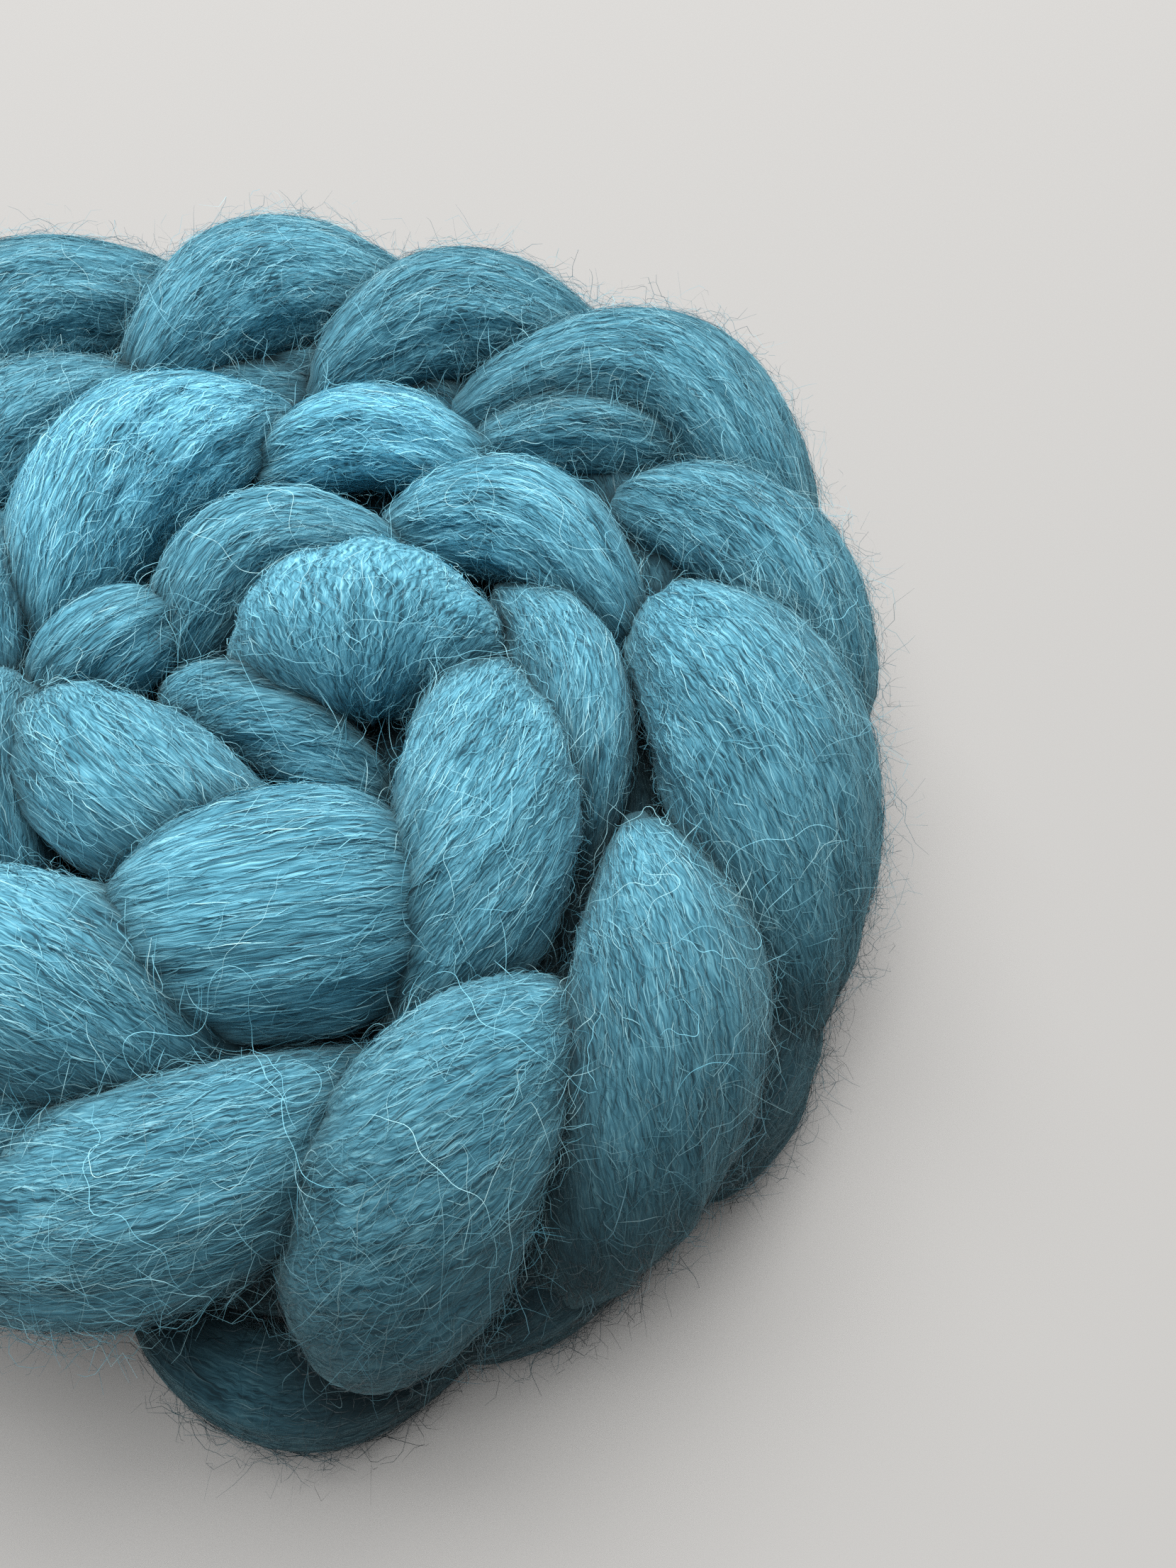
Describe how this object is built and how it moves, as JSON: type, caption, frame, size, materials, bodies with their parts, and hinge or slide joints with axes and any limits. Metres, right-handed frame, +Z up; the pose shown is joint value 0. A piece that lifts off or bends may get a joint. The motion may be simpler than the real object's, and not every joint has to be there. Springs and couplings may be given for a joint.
{
  "type": "wool roving",
  "caption": "Teal combed wool roving, looped by hand into a chain of plump overlapping folds and wound into a flat round coil.",
  "frame": {"origin": "centre of the coil's outline, on the surface it rests on", "axes": "+Z up through the flat coil; the near edge of the upper face is at -Y"},
  "size_m": [0.2204, 0.235, 0.0595],
  "materials": {
    "wool": "soft crimped wool fibres, teal, matt with a faint sheen"
  },
  "bodies": {
    "root": {"roving": "wool"}
  },
  "joints": []
}
